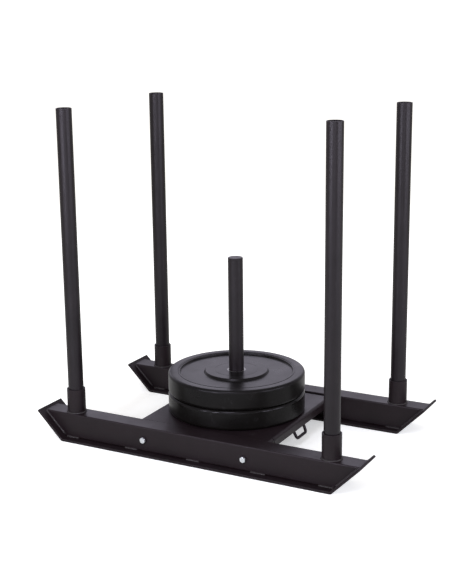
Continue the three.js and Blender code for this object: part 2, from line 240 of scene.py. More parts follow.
# %% Place the camera
# The first two are in pixels of the photograph.
PHOTO_HEIGHT = 584
FOCAL_LENGTH = 1221.02
CAMERA_PLACE = Vector((1.79225, -3.38131, 1.46159))
azimuth = math.radians(28.461)
elevation = math.radians(14.379)
roll = math.radians(-0.711)

back = Vector((
    math.sin(azimuth) * math.cos(elevation),
    -math.cos(azimuth) * math.cos(elevation),
    math.sin(elevation),
))
level_right = Vector((math.cos(azimuth), math.sin(azimuth), 0))
level_up = back.cross(level_right)
right = level_right * math.cos(roll) + level_up * math.sin(roll)
up = level_up * math.cos(roll) - level_right * math.sin(roll)
facing = Matrix((right, up, back)).transposed().to_4x4()

lens = bpy.data.cameras.new("camera")
lens.sensor_width = 36
lens.lens = lens.sensor_width * FOCAL_LENGTH / PHOTO_HEIGHT
lens.clip_end = 50
camera = bpy.data.objects.new("camera", lens)
bpy.context.scene.collection.objects.link(camera)
camera.matrix_world = Matrix.Translation(CAMERA_PLACE) @ facing
bpy.context.scene.camera = camera
print("camera:", round(CAMERA_PLACE.length, 2), "m from the sled's middle, lens", round(lens.lens, 1), "mm")

# %% [markdown]
# ## Studio
# A white sweep with soft lights. Black paint shows only what it mirrors. The tops, seen at a low angle,
# mirror the far room and the large light at the back, so they come out pale grey. The upright tubes mirror
# what stands low before them: two narrow lamps on the left and two wide ones on the right draw their
# streaks, which fade towards the feet. Two more, one high and one low in front, lift the faces towards the
# camera. The floor glows a little for the camera, more so away from the sled, so that it stays white while
# the shadow is kept.

# %% Shader nodes in short
def add(tree, kind, inputs=None, **settings):
    """A shader node; its inputs are given by name or number, as values or as sockets to link."""
    made = tree.nodes.new(("" if kind.startswith("NodeGroup") else "ShaderNode") + kind)
    for name, value in settings.items():
        setattr(made, name, value)
    for name, value in (inputs or {}).items():
        if isinstance(value, bpy.types.NodeSocket):
            tree.links.new(value, made.inputs[name])
        else:
            made.inputs[name].default_value = value
    return made


def math_node(tree, operation, a, b):
    return add(tree, "Math", {0: a, 1: b}, operation=operation).outputs[0]


def blend(tree, factor, a, b):
    """A colour between a and b."""
    return add(tree, "Mix", {0: factor, 6: a, 7: b}, data_type="RGBA").outputs[2]


def fit_range(tree, value, low, high, start=0.3, end=0.7):
    """Takes a value from the range start to end to the range low to high, and never past it."""
    inputs = {"Value": value, "From Min": start, "From Max": end, "To Min": low, "To Max": high}
    return add(tree, "MapRange", inputs).outputs[0]


def object_place(tree):
    return add(tree, "TexCoord").outputs["Object"]


def seen_or_mirrored(tree, when_seen=1.0, when_mirrored=1.0):
    """One value for rays from the camera, another for mirrored rays, 0 for rays that only carry light."""
    path = add(tree, "LightPath").outputs
    mirrored = math_node(tree, "MAXIMUM", path["Is Glossy Ray"], path["Is Transmission Ray"])
    mirrored = math_node(tree, "MULTIPLY", mirrored, when_mirrored)
    seen = math_node(tree, "MULTIPLY", path["Is Camera Ray"], when_seen)
    return math_node(tree, "MAXIMUM", seen, mirrored)


# %% Paint the room white
ROOM_SEEN = (0.97, 0.93, 1.06, 1)
ROOM_LIGHT = (1.12, 0.96, 0.88, 1)

bpy.context.scene.view_settings.view_transform = "Standard"
world = bpy.data.worlds.new("white room")
bpy.context.scene.world = world
world.use_nodes = True
tree = world.node_tree
tree.nodes.clear()
brightness = seen_or_mirrored(tree, when_seen=1.2, when_mirrored=0.80)
seen = add(tree, "Background", {"Color": ROOM_SEEN, "Strength": brightness})
cast = add(tree, "Background", {"Color": ROOM_LIGHT, "Strength": 0.38})
mixed = add(tree, "MixShader", {0: seen_or_mirrored(tree), 1: cast.outputs[0], 2: seen.outputs[0]})
add(tree, "OutputWorld", {"Surface": mixed.outputs[0]})
print("room has", len(tree.nodes), "nodes")

# %% Lay the floor
GLOW_NEAR = 0.40
GLOW_FAR = 0.85
GLOW_GROWS = (0.42, 0.95)
# A little lower than the soles, so that the two surfaces never lie in one plane.
FLOOR_DROP = 0.4

floor_paint = bpy.data.materials.new("white_floor")
floor_paint.use_nodes = True
tree = floor_paint.node_tree
tree.nodes.clear()
haze = add(tree, "TexNoise", {"Scale": 0.8, "Detail": 2.0})
tone = blend(tree, haze.outputs["Fac"], (0.81, 0.89, 0.83, 1), (0.83, 0.91, 0.85, 1))
matt = add(tree, "BsdfDiffuse", {"Color": tone})
away = add(tree, "VectorMath", {0: object_place(tree)}, operation="LENGTH").outputs["Value"]
sweep = fit_range(tree, away, GLOW_NEAR, GLOW_FAR, *GLOW_GROWS)
strength = seen_or_mirrored(tree, when_seen=sweep, when_mirrored=0.14)
glow = add(tree, "Emission", {"Color": (1, 1, 1, 1), "Strength": strength})
lit = add(tree, "AddShader", {0: matt.outputs[0], 1: glow.outputs[0]})
add(tree, "OutputMaterial", {"Surface": lit.outputs[0]})

made = bmesh.new()
bmesh.ops.create_grid(made, x_segments=4, y_segments=4, size=30)
floor_mesh = bpy.data.meshes.new("floor")
made.to_mesh(floor_mesh)
made.free()
floor = bpy.data.objects.new("floor", floor_mesh)
floor.location.z = -FLOOR_DROP * MM
floor_mesh.materials.append(floor_paint)
bpy.context.scene.collection.objects.link(floor)
floor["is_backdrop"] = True
print("floor:", [round(side) for side in floor.dimensions], "m")

# %% Hang the lights
LAMP_COLOUR = (0.95, 0.90, 1.11)


def soft_light(name, place, aim, size, power):
    """A lamp of the given width and height, in metres, and power, in watts, that the camera can't see."""
    light = bpy.data.lights.new(name, "AREA")
    light.color = LAMP_COLOUR
    light.shape = "RECTANGLE"
    light.size, light.size_y = size
    light.energy = power
    lamp = bpy.data.objects.new(name, light)
    lamp.location = place
    lamp.rotation_euler = (Vector(aim) - Vector(place)).to_track_quat("-Z", "Y").to_euler()
    lamp.visible_camera = False
    bpy.context.scene.collection.objects.link(lamp)


soft_light("back", (-1.9, 3.0, 1.9), (0, 0, 0.3), (4.0, 2.0), 23)
soft_light("high_front", (0.33, -1.87, 2.4), (0, -0.2, 0.15), (0.8, 1.2), 24)
soft_light("left_strip", (-0.33, -2.75, 1.1), (0, 0, 0.8), (0.25, 1.3), 30)
soft_light("far_left_strip", (-1.1, -2.3, 1.1), (0, 0, 0.8), (0.25, 1.3), 16)
soft_light("right_bank", (3.3, -1.0, 1.1), (0, 0, 0.8), (1.4, 1.3), 44)
soft_light("far_right_bank", (3.3, 0.5, 1.1), (0, 0, 0.8), (0.8, 1.3), 23)
soft_light("low_front", (1.7, -3.95, 0.9), (0, 0, 0.9), (3.0, 1.0), 32)

# %% [markdown]
# ## Surface effects
# Four small effects make up the finishes: the fine bumps of sprayed and moulded skins, a paler line along
# edges that is partly wear and partly a painted highlight, uneven tone with faint handling marks, and the
# rings that a lathe tool leaves. Their
# nodes could be laid again in every material, but as groups with named inputs and outputs they are built
# once, and each finish only gives its own sizes.

# %% Effect: fine bumps
def new_group(name, inputs, outputs):
    group = bpy.data.node_groups.new(name, "ShaderNodeTree")
    for kind, label, value in inputs:
        socket = group.interface.new_socket(label, in_out="INPUT", socket_type="NodeSocket" + kind)
        socket.default_value = value
    for kind, label in outputs:
        group.interface.new_socket(label, in_out="OUTPUT", socket_type="NodeSocket" + kind)
    return group, add(group, "NodeGroupInput").outputs


def give_out(group, **outputs):
    add(group, "NodeGroupOutput", outputs)
    print(group.name, "has", len(group.nodes), "nodes")


fine_bumps, given = new_group(
    "fine_bumps",
    [("Float", "Bumps per Metre", 700.0), ("Float", "Height", 0.0001), ("Float", "Waviness", 0.3)],
    [("Vector", "Normal")],
)
place = object_place(fine_bumps)
density = given["Bumps per Metre"]
grain = add(fine_bumps, "TexNoise", {"Vector": place, "Scale": density, "Detail": 2.0, "Roughness": 0.55})
slower = math_node(fine_bumps, "MULTIPLY", density, 0.09)
wave = add(fine_bumps, "TexNoise", {"Vector": place, "Scale": slower, "Detail": 1.0})
lifted = math_node(fine_bumps, "MULTIPLY", wave.outputs["Fac"], given["Waviness"])
relief = math_node(fine_bumps, "ADD", grain.outputs["Fac"], lifted)
bump = add(fine_bumps, "Bump", {"Height": relief, "Distance": given["Height"]})
give_out(fine_bumps, Normal=bump.outputs[0])

# %% Effect: edges paler from wear and a painted highlight
worn_and_highlit_edges, given = new_group(
    "worn_and_highlit_edges",
    [("Float", "Width", 0.0012), ("Float", "Break-up per Metre", 90.0)],
    [("Float", "Mask")],
)
# The mask marks a paler line along edges: partly wear, partly a painted highlight.
soft = add(worn_and_highlit_edges, "Bevel", {"Radius": given["Width"]}, samples=4).outputs[0]
true = add(worn_and_highlit_edges, "NewGeometry").outputs["Normal"]
same = add(worn_and_highlit_edges, "VectorMath", {0: soft, 1: true}, operation="DOT_PRODUCT").outputs["Value"]
turn = fit_range(worn_and_highlit_edges, same, 0, 1, 0.995, 0.86)
density = given["Break-up per Metre"]
patches = {"Vector": object_place(worn_and_highlit_edges), "Scale": density, "Detail": 4.0, "Roughness": 0.65}
patchy = add(worn_and_highlit_edges, "TexNoise", patches).outputs["Fac"]
kept = fit_range(worn_and_highlit_edges, patchy, 0, 1, 0.42, 0.66)
give_out(worn_and_highlit_edges, Mask=math_node(worn_and_highlit_edges, "MULTIPLY", turn, kept))

# %% Effect: uneven tone and handling marks
handling, given = new_group(
    "handling",
    [
        ("Float", "Patches per Metre", 7.0),
        ("Float", "Marks per Metre", 60.0),
        ("Vector", "Mark Stretch", (1.0, 1.0, 1.0)),
    ],
    [("Float", "Tone"), ("Float", "Marks")],
)
place = object_place(handling)
patches = {"Vector": place, "Scale": given["Patches per Metre"], "Detail": 5.0, "Roughness": 0.6}
broad = add(handling, "TexNoise", patches).outputs["Fac"]
drawn = add(handling, "VectorMath", {0: place, 1: given["Mark Stretch"]}, operation="MULTIPLY").outputs[0]
density = given["Marks per Metre"]
lines = {"Vector": drawn, "Scale": density, "Detail": 3.0, "Roughness": 0.7, "Distortion": 0.6}
fine = add(handling, "TexNoise", lines).outputs["Fac"]
thin = fit_range(handling, fine, 0, 1, 0.60, 0.70)
where = fit_range(handling, broad, 0, 1, 0.45, 0.62)
give_out(handling, Tone=broad, Marks=math_node(handling, "MULTIPLY", thin, where))

# %% Effect: lathe rings
lathe_rings, given = new_group(
    "lathe_rings",
    [
        ("Vector", "Axis", (0.0, 0.0, 0.0)),
        ("Float", "Rings per Metre", 1400.0),
        ("Float", "Height", 0.00002),
    ],
    [("Vector", "Normal"), ("Float", "Rings")],
)
ends = {0: object_place(lathe_rings), 1: given["Axis"]}
from_axis = add(lathe_rings, "VectorMath", ends, operation="SUBTRACT").outputs[0]
parts = add(lathe_rings, "SeparateXYZ", {0: from_axis})
flat = add(lathe_rings, "CombineXYZ", {0: parts.outputs[0], 1: parts.outputs[1]})
radius = add(lathe_rings, "VectorMath", {0: flat.outputs[0]}, operation="LENGTH").outputs["Value"]
spread = add(lathe_rings, "CombineXYZ", {0: radius, 1: parts.outputs[2]}).outputs[0]
lines = {"Vector": spread, "Scale": given["Rings per Metre"], "Detail": 1.0}
rings = add(lathe_rings, "TexNoise", lines).outputs["Fac"]
bump = add(lathe_rings, "Bump", {"Height": rings, "Distance": given["Height"]})
give_out(lathe_rings, Normal=bump.outputs[0], Rings=rings)

# %% [markdown]
# ## Powder coat
# The frame and the uprights are powder coated: a satin skin, a little pebbly, near black with a brown cast,
# and paler along its edges, partly from wear and partly as a painted highlight. Over the weld beads the coat
# is thinner and greyer. One plain black would look
# like plastic, so each coat mixes its colour and roughness from the effects above. The three differ only in
# their values, so one function makes them.

# %% Tools for finishes
def use(tree, group, **inputs):
    """Places an effect in a material and gives it its own values."""
    made = tree.nodes.new("ShaderNodeGroup")
    made.node_tree = group
    for name, value in inputs.items():
        made.inputs[name.replace("_", " ")].default_value = value
    return made.outputs


def new_finish(name):
    finish = bpy.data.materials.new(name)
    finish.use_nodes = True
    return finish, finish.node_tree


def put_on(finish, colour, roughness, normal, **values):
    """Links a finish's colour, roughness and normal to its shader, and sets the shader's plain values."""
    tree = finish.node_tree
    shader = tree.nodes["Principled BSDF"]
    tree.links.new(colour, shader.inputs["Base Color"])
    tree.links.new(roughness, shader.inputs["Roughness"])
    tree.links.new(normal, shader.inputs["Normal"])
    for name, value in values.items():
        shader.inputs[name.replace("_", " ")].default_value = value
    print(finish.name, "has", len(tree.nodes), "nodes")


def uneven(tree, hands, low, high):
    """A colour that drifts between two with the uneven tone."""
    return blend(tree, fit_range(tree, hands["Tone"], 0, 1), low, high)


def laid_over(tree, under, mask, share, upper):
    """Lays a colour over another where the mask is, as strongly as the share says."""
    return blend(tree, math_node(tree, "MULTIPLY", mask, share), under, upper)


def tinted(value, tint):
    return (value * tint[0], value * tint[1], value * tint[2], 1)


def grey(value, warm=0.0):
    return tinted(value, (1 + warm, 1, 1 - warm))


# %% Spray the three coats
def powder_coat(name, base, pale_wear_and_highlight, rough, level, stretch, tint):
    """Level is how strongly the skin mirrors. More stretch makes the marks shorter along that axis."""
    finish, tree = new_finish(name)
    skin = use(tree, fine_bumps, Bumps_per_Metre=750.0, Height=0.00006, Waviness=0.8)
    edge = use(tree, worn_and_highlit_edges, Width=0.0011)
    hands = use(tree, handling, Mark_Stretch=stretch)
    body = uneven(tree, hands, tinted(base * 0.85, tint), tinted(base * 1.2, tint))
    scuffed = laid_over(tree, body, hands["Marks"], 0.25, grey(pale_wear_and_highlight))
    # Edges are laid paler: partly wear, partly a painted highlight along them.
    colour = laid_over(tree, scuffed, edge["Mask"], 0.5, grey(pale_wear_and_highlight))
    satin = fit_range(tree, hands["Tone"], rough - 0.05, rough + 0.06)
    dulled = math_node(tree, "ADD", satin, math_node(tree, "MULTIPLY", hands["Marks"], 0.12))
    put_on(finish, colour, dulled, skin["Normal"], Specular_IOR_Level=level)
    return finish


frame_coat = powder_coat(
    "frame_coat",
    base=0.006, pale_wear_and_highlight=0.035, rough=0.42, level=0.19,
    stretch=(1.0, 1.0, 4.0), tint=(1.28, 0.80, 0.90),
)
upright_coat = powder_coat(
    "upright_coat",
    base=0.007, pale_wear_and_highlight=0.035, rough=0.34, level=0.21,
    stretch=(4.0, 4.0, 0.5), tint=(1.15, 0.92, 1.0),
)
bead_coat = powder_coat(
    "bead_coat",
    base=0.020, pale_wear_and_highlight=0.050, rough=0.32, level=0.22,
    stretch=(1.0, 1.0, 1.0), tint=(1.08, 1.0, 0.92),
)

# %% [markdown]
# ## Rubber and plastic
# The plates are moulded rubber, almost without gloss, dusty here and there, and rubbed smoother where the
# two meet. A mask painted by hand would have to be stored as an image, so the rubbed band is found by its
# height above the floor. The plugs in the uprights are plain plastic, duller than the coat round them.

# %% Mix the rubber and the plastic
BAND_BEGINS = (0.138, 0.143)
BAND_ENDS = (0.155, 0.152)

plate_rubber, tree = new_finish("plate_rubber")
skin = use(tree, fine_bumps, Bumps_per_Metre=420.0, Height=0.00005, Waviness=1.5)
edge = use(tree, worn_and_highlit_edges, Width=0.0015)
hands = use(tree, handling, Patches_per_Metre=11.0)
body = uneven(tree, hands, (0.0030, 0.0028, 0.0024, 1), (0.0046, 0.0043, 0.0037, 1))
dusty = laid_over(tree, body, hands["Marks"], 0.12, grey(0.06))
colour = laid_over(tree, dusty, edge["Mask"], 0.25, grey(0.05))
height = add(tree, "SeparateXYZ", {0: object_place(tree)}).outputs[2]
above = fit_range(tree, height, 0, 1, *BAND_BEGINS)
below = fit_range(tree, height, 0, 1, *BAND_ENDS)
rubbed = math_node(tree, "MULTIPLY", math_node(tree, "MULTIPLY", above, below), -0.13)
rough = math_node(tree, "ADD", fit_range(tree, hands["Tone"], 0.26, 0.34), rubbed)
put_on(plate_rubber, colour, rough, skin["Normal"], Specular_IOR_Level=0.11)

plug_plastic, tree = new_finish("plug_plastic")
skin = use(tree, fine_bumps, Bumps_per_Metre=1100.0, Height=0.00004)
hands = use(tree, handling, Patches_per_Metre=40.0)
body = uneven(tree, hands, grey(0.009), grey(0.013))
put_on(plug_plastic, body, fit_range(tree, hands["Tone"], 0.5, 0.6), skin["Normal"], Specular_IOR_Level=0.3)

# %% [markdown]
# ## Steel and zinc
# The plates' inserts are turned steel, darkened by use and bright along their edges. The bolts and nuts are
# bright zinc, which is plated and a little blotchy. Bare metal takes its look from how its small ridges
# spread the light, so the lathe's rings drive the steel's roughness as well as its bumps.

# %% Turn the steel and plate the zinc
HORN_X = -5

insert_steel, tree = new_finish("insert_steel")
rings = use(tree, lathe_rings, Axis=(HORN_X * MM, 0, 0), Rings_per_Metre=1600.0, Height=0.00003)
edge = use(tree, worn_and_highlit_edges, Width=0.0008)
hands = use(tree, handling, Patches_per_Metre=30.0)
body = uneven(tree, hands, (0.11, 0.112, 0.105, 1), (0.17, 0.172, 0.16, 1))
colour = blend(tree, edge["Mask"], body, grey(0.65, 0.03))
put_on(insert_steel, colour, fit_range(tree, rings["Rings"], 0.24, 0.36), rings["Normal"], Metallic=1.0)

bright_zinc, tree = new_finish("bright_zinc")
skin = use(tree, fine_bumps, Bumps_per_Metre=1500.0, Height=0.00002, Waviness=2.0)
hands = use(tree, handling, Patches_per_Metre=80.0, Marks_per_Metre=400.0)
body = uneven(tree, hands, (0.54, 0.58, 0.58, 1), (0.66, 0.68, 0.68, 1))
colour = laid_over(tree, body, hands["Marks"], 0.4, grey(0.4, 0.05))
put_on(bright_zinc, colour, fit_range(tree, hands["Tone"], 0.24, 0.38), skin["Normal"], Metallic=1.0)

# %% [markdown]
# ## Skid straps
# Each skid slides on a flat bar, 125 by 8 mm, whose ends are bent up so that they ride over the floor's
# bumps. A press brake leaves a bend with a small inside radius. A flat mesh with a bend modifier would thin
# or swell there, so the bar is drawn as an outer and an inner line, whose bends have one centre.

# %% Bend the straps
SIDES = {"left": 1, "right": -1}
SKID_Y = 274
SOLE_HALF = 480
STRAP_THICK = 8
STRAP_HALF_WIDTH = 62.5
UPTURN = math.radians(45)
TIP_HEIGHT = 91
BEND_INNER = 6
BEND_OUTER = BEND_INNER + STRAP_THICK
BEND_X = SOLE_HALF - BEND_OUTER * math.tan(UPTURN / 2)
TIP_X = SOLE_HALF + TIP_HEIGHT / math.tan(UPTURN)


def strap_line(radius, tip, bend_steps=14, straight_steps=4):
    """One face of the strap as a line of (x, z) points, from the rear tip to the front one."""
    line = []
    for k in range(bend_steps + 1):
        a = -math.pi / 2 + UPTURN * k / bend_steps
        line.append(Vector((BEND_X, BEND_OUTER)) + Vector((math.cos(a), math.sin(a))) * radius)
    bend_end = line[-1].copy()
    line += [bend_end.lerp(tip, k / straight_steps) for k in range(1, straight_steps + 1)]
    return [Vector((-p.x, p.y)) for p in reversed(line)] + line


def strap(y):
    inward = Vector((-math.sin(UPTURN), math.cos(UPTURN)))
    outer_tip = Vector((TIP_X, TIP_HEIGHT))
    outer = strap_line(BEND_OUTER, outer_tip)
    inner = strap_line(BEND_INNER, outer_tip + inward * STRAP_THICK)
    near, far = y - STRAP_HALF_WIDTH, y + STRAP_HALF_WIDTH
    points = []
    for o, i in zip(outer, inner):
        points += [(o.x, near, o.y), (o.x, far, o.y), (i.x, far, i.y), (i.x, near, i.y)]
    return points, skin_over(in_rings(points, 4))


for name, side in SIDES.items():
    made = frame_part(name + "_strap", strap(side * SKID_Y), frame_coat, name + "_skid_strap")
    break_edges(made, width=0.9)
print("strap tips reach", round(TIP_X, 1), "mm along and", TIP_HEIGHT, "mm up")

# %% [markdown]
# ## Skid tubes
# The box tubes stand on the straps, 67 by 81 mm, and their ends are sawn at the strap's angle. A box tube's
# corners are rounded by its rolling, and that is where it catches the light. A boolean cut would leave long
# thin faces at the ends, so the section is drawn once, and each end of it slides along until it meets the
# strap.

# %% Saw the tubes
GAP = 0.3
TUBE_HALF_WIDTH = 33.5
TUBE_CORNER = 4
TUBE_LOW = STRAP_THICK + GAP
TUBE_HIGH = 89


def tube_end(z):
    """How far along the tube reaches at this height, to lie against the bent strap."""
    radius = BEND_INNER - GAP
    bend_end = UPTURN - math.pi / 2
    foot = Vector((BEND_X + radius * math.cos(bend_end), BEND_OUTER + radius * math.sin(bend_end)))
    if z > foot.y:
        return foot.x + (z - foot.y) / math.tan(UPTURN)
    return BEND_X + math.sqrt(max(0.0, radius**2 - (z - BEND_OUTER) ** 2))


def tube(y):
    half = TUBE_HALF_WIDTH
    corners = [(-half, TUBE_LOW), (half, TUBE_LOW), (half, TUBE_HIGH), (-half, TUBE_HIGH)]
    section = rounded([(dy, z, TUBE_CORNER) for dy, z in corners], steps=7)
    points = []
    for share in (-1, -0.98, -0.6, 0, 0.6, 0.98, 1):
        points += [(share * tube_end(z), y + dy, z) for dy, z in section]
    return points, skin_over(in_rings(points, len(section)))


for name, side in SIDES.items():
    even_shading(frame_part(name + "_tube", tube(side * SKID_Y), frame_coat, name + "_skid_tube"))
for label, z in (("top", TUBE_HIGH), ("sole", TUBE_LOW)):
    print("tubes are", round(2 * tube_end(z)), "mm long at the", label)

# %% [markdown]
# ## Weld beads
# A weld is laid in short steps, and each step freezes as a small overlapping scale. Bump in a material
# can't change a bead's outline, so a bead is a rod drawn along the seam whose skin rises and drops once
# every step, with the scales bowed along its crown, its width a little uneven, and both ends rounded off.

# %% Lay a bead along a seam
BEAD_SPACING = 0.45
BEAD_LIFT = 0.4
SCALE_LENGTH = 3.2
BOW = 0.3
TROUGH = 0.91
RIPPLE = 0.15
WANDER = 0.03
SWELL = (0.88, 1.12)
beads = []


def spaced(path, spacing, closed=False):
    """The same path with its points the given distance apart, and its length."""
    path = [Vector(p) for p in path]
    if closed:
        path.append(path[0])
    lengths = [0.0]
    for a, b in zip(path, path[1:]):
        lengths.append(lengths[-1] + (b - a).length)
    steps = max(8, round(lengths[-1] / spacing))
    out = []
    i = 0
    for k in range(steps if closed else steps + 1):
        at = lengths[-1] * k / steps
        while i < len(path) - 2 and lengths[i + 1] < at:
            i += 1
        out.append(path[i].lerp(path[i + 1], (at - lengths[i]) / max(1e-9, lengths[i + 1] - lengths[i])))
    return out, lengths[-1]


def bead(path, radius, closed=False, step=SCALE_LENGTH, up=Z):
    number = len(beads) + 1
    chance = random.Random(number)
    path, length = spaced(path, BEAD_SPACING, closed)
    count = len(path)
    scales = max(1, round(length / step))
    swell = [chance.uniform(*SWELL) for _ in range(scales + 2)]
    stray = chance.uniform(0, TAU)

    def reach(i, a):
        place = i / count * scales - BOW * math.cos(a - math.pi / 4) ** 2
        scale = math.floor(place)
        share = place - scale
        size = swell[scale % scales] * (1 - share) + swell[(scale + 1) % scales] * share
        rise = TROUGH + RIPPLE * share**2 + WANDER * math.sin(i * 0.05 + stray)
        # The ends of an open bead are rounded off over nine tenths of its radius.
        from_end = (min(i, count - 1 - i) + 0.35) * length / count
        end = 1 if closed else min(1, from_end / (0.9 * radius))
        return radius * size * rise * math.sqrt(1 - (1 - end) ** 2)

    beads.append(frame_part(f"weld_bead_{number:02d}", along(path, reach, closed, up), bead_coat))


# %% Weld the tubes to the straps
ENDS = {"front": 1, "rear": -1}
STITCHES = (-453, -227, 0, 227, 453)
STITCH_HALF = 26
STITCH_VARIES = 3
BESIDE_DECK = 300
MITRE_SEAM = (15, 30, 50, 70, 87)

for side in SIDES.values():
    for face in (1, -1):
        y = side * SKID_Y + face * TUBE_HALF_WIDTH
        for middle in STITCHES:
            # Beside the deck, the tube's inner side is left without stitches.
            if abs(middle) < BESIDE_DECK and face != side:
                continue
            reach = STITCH_HALF + STITCH_VARIES * math.sin(middle + face)
            bead([(middle - reach, y, TUBE_LOW), (middle + reach, y, TUBE_LOW)], radius=4.0)
        for end in ENDS.values():
            seam = [(end * (tube_end(z) + BEAD_LIFT), y, z) for z in MITRE_SEAM]
            bead(seam, radius=3.6, step=3.6, up=Vector((0, 1, 0)))
print("beads along the skids:", len(beads))

# %% [markdown]
# ## Sockets
# A socket is a short sleeve, welded upright on the tube. The sleeve is nearly as wide as the tube, so its
# bead dips over the tube's rounded corners on both sides. The bead could be a level ring sunk into the
# corners, but then it would thin out there, so its path follows the tube's skin.

# %% Turn the sockets and weld them on
CORNERS = [(end, side) for side in SIDES for end in ENDS]
SOCKET_X = 456
SOCKET_BORE = 26.15
SOCKET_RADIUS = 30.15
SOCKET_LOW = TUBE_HIGH + GAP
SOCKET_DEPTH = 79
SOCKET_HIGH = SOCKET_LOW + SOCKET_DEPTH
SOCKET_SEAM = 30.4


def over_tube(dy):
    """The height of the tube's skin this far from its middle."""
    past = max(0.0, abs(dy) - (TUBE_HALF_WIDTH - TUBE_CORNER))
    return TUBE_HIGH - TUBE_CORNER + math.sqrt(TUBE_CORNER**2 - min(past, 0.9 * TUBE_CORNER) ** 2)


def circle(radius, count):
    """Points on a circle about the origin."""
    return [(radius * math.cos(TAU * k / count), radius * math.sin(TAU * k / count)) for k in range(count)]


def corner_place(end, side):
    return ENDS[end] * SOCKET_X, SIDES[side] * SKID_Y


for end, side in CORNERS:
    name = f"{end}_{side}_"
    at = corner_place(end, side)
    profile = sleeve(SOCKET_BORE, SOCKET_RADIUS, SOCKET_LOW, SOCKET_HIGH, 1.0)
    even_shading(frame_part(name + "sleeve", turned(profile, at), frame_coat, name + "socket"))
    seam = [(at[0] + dx, at[1] + dy, over_tube(dy) + BEAD_LIFT) for dx, dy in circle(SOCKET_SEAM, 180)]
    bead(seam, radius=3.1, closed=True)
print("beads with the sockets:", len(beads))

# %% [markdown]
# ## Uprights
# The uprights are plain tubes that drop into the sockets, with a push-in plug sunk a little below the rim.
# The plug's fins are never seen, but they cost little, and the plug is one turned profile with them. Its
# top is dished, so the light draws a thin ring on it.

# %% Turn the uprights and their plugs
UPRIGHT_TOP = 1081
UPRIGHT_RADIUS = 25
UPRIGHT_BORE = 22
PLUG_CORE = 15
PLUG_GRIP = 21.6
PLUG_TOP = UPRIGHT_TOP - 3
PLUG_FOOT = PLUG_TOP - 17
HEAD_LOW = PLUG_TOP - 5

tube_profile = rounded([
    (UPRIGHT_BORE, SOCKET_LOW, 0.4),
    (UPRIGHT_RADIUS, SOCKET_LOW, 0.4),
    (UPRIGHT_RADIUS, UPRIGHT_TOP, 1.0),
    (UPRIGHT_BORE, UPRIGHT_TOP, 0.8),
])
dished_head = [
    (PLUG_GRIP, HEAD_LOW),
    (21.7, PLUG_TOP, 1.2),
    (18.5, PLUG_TOP, 0.6),
    (17.3, PLUG_TOP - 1.2, 0.6),
    (0, PLUG_TOP - 1.5),
]
plug_profile = [(0, PLUG_FOOT), (PLUG_CORE, PLUG_FOOT)]
for z in (PLUG_FOOT + 2, PLUG_FOOT + 8):
    plug_profile += [(PLUG_CORE, z), (PLUG_GRIP, z + 0.8), (PLUG_GRIP, z + 1.2), (PLUG_CORE, z + 2)]
plug_profile += [(PLUG_CORE, HEAD_LOW)] + rounded(dished_head, closed=False)

for end, side in CORNERS:
    name = f"{end}_{side}_"
    body = name + "handle"
    at = corner_place(end, side)
    shape = turned(tube_profile, at)
    made = piece(name + "push_tube", shape, body, upright_coat, "frame_coat", [name + "upright"])
    even_shading(made)
    shape = turned(plug_profile, at, closed=False, sides=96)
    made = piece(name + "end_plug", shape, body, plug_plastic, "plug_plastic", [name + "upright_plug"])
    even_shading(made)
print("uprights:", UPRIGHT_TOP - SOCKET_LOW, "mm long,", SOCKET_DEPTH, "mm in the socket")

# %% [markdown]
# ## Deck
# The deck is one folded sheet, 5 mm thick. Its long sides turn down 60 mm and are bolted to the tubes, and
# its ends turn down 30 mm. At each corner the side flange comes round as a tab, and a narrow slit between
# tab and end flange lets the two bends meet. It is built as the sheet's outer skin, cut, and then given its
# thickness inward, so that the bends keep one radius outside and a smaller one inside.

# %% Fold the sheet over a block
DECK_X = -2
DECK_HALF = 233
DECK_HALF_WIDTH = 240.2
DECK_HIGH = 85
SHEET = 5
SIDE_FLANGE = 60
END_FLANGE = 30
FOLD = 10

# The block is twice as high as the side flanges. Its lower half is cut away later.
made = bmesh.new()
bmesh.ops.create_cube(made, size=2)
bmesh.ops.scale(made, vec=(DECK_HALF, DECK_HALF_WIDTH, SIDE_FLANGE), verts=made.verts)
bmesh.ops.translate(made, vec=(0, 0, DECK_HIGH - SIDE_FLANGE), verts=made.verts)
folds = [e for e in made.edges if max(v.co.z for v in e.verts) > DECK_HIGH - 1]
bmesh.ops.bevel(made, geom=folds, offset=FOLD, segments=8, profile=0.5, affect="EDGES")
print("folded block:", len(made.faces), "faces")

# %% Cut the flanges and the slits
TAB = 40
SLIT = DECK_HALF_WIDTH - TAB
SLIT_HALF = 1.25
CUT_START = DECK_HALF - 7


def slice_at(axis, place, remove_below=False):
    """Cuts the block across an axis, 0 to 2, and may clear away what lies below the cut."""
    normal = Vector([1.0 if i == axis else 0.0 for i in range(3)])
    parts = list(made.verts) + list(made.edges) + list(made.faces)
    bmesh.ops.bisect_plane(
        made, geom=parts, dist=1e-5, plane_co=normal * place, plane_no=normal, clear_inner=remove_below
    )


slice_at(2, DECK_HIGH - SIDE_FLANGE, remove_below=True)
slice_at(2, DECK_HIGH - END_FLANGE)
for sign in (-1, 1):
    slice_at(0, sign * CUT_START)
    for edge in (-SLIT_HALF, SLIT_HALF):
        slice_at(1, sign * (SLIT + edge))
away = []
for face in made.faces:
    middle = face.calc_center_median()
    at_end = abs(middle.x) > CUT_START
    in_slit = abs(abs(middle.y) - SLIT) < SLIT_HALF
    under_flange = abs(middle.y) < SLIT and middle.z < DECK_HIGH - END_FLANGE
    if at_end and (in_slit or under_flange):
        away.append(face)
bmesh.ops.delete(made, geom=away, context="FACES")
print("cut skin:", len(made.faces), "faces; slits", SLIT, "mm from the middle")

